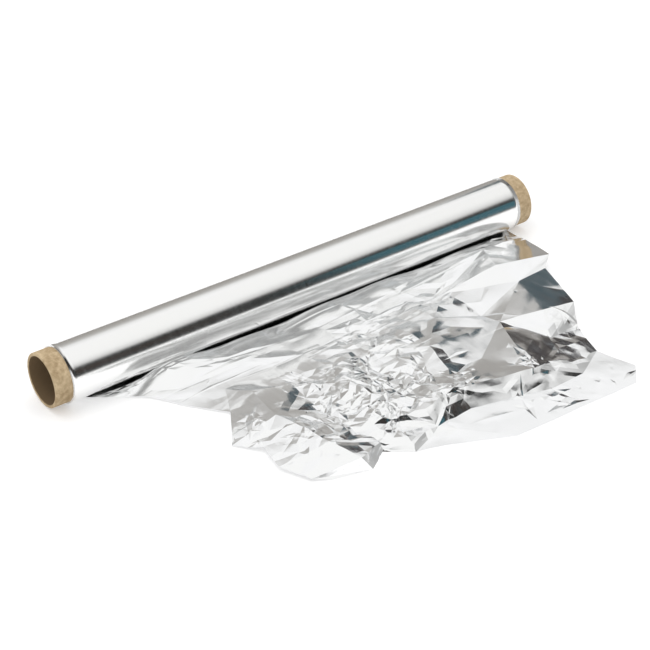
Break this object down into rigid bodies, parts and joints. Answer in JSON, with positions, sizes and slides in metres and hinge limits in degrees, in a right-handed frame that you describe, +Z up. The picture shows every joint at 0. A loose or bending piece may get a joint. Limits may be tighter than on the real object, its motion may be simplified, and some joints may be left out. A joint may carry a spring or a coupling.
{
  "type": "aluminium foil roll",
  "caption": "Household aluminium foil wound on a cardboard core, lying on its side with the loose end pulled out and crumpled in front.",
  "frame": {"origin": "centre of the core's bore at half its length, on the roll's axis", "axes": "+X along the roll's axis, -Y towards the pulled-out tail, +Z up; the surface that it lies on is 15.25 mm below the origin"},
  "size_m": [0.3084, 0.1753, 0.0306],
  "materials": {
    "core_board": "matte",
    "foil": "gloss"
  },
  "bodies": {
    "root": {"core": "core_board", "foil": "foil"}
  },
  "joints": []
}
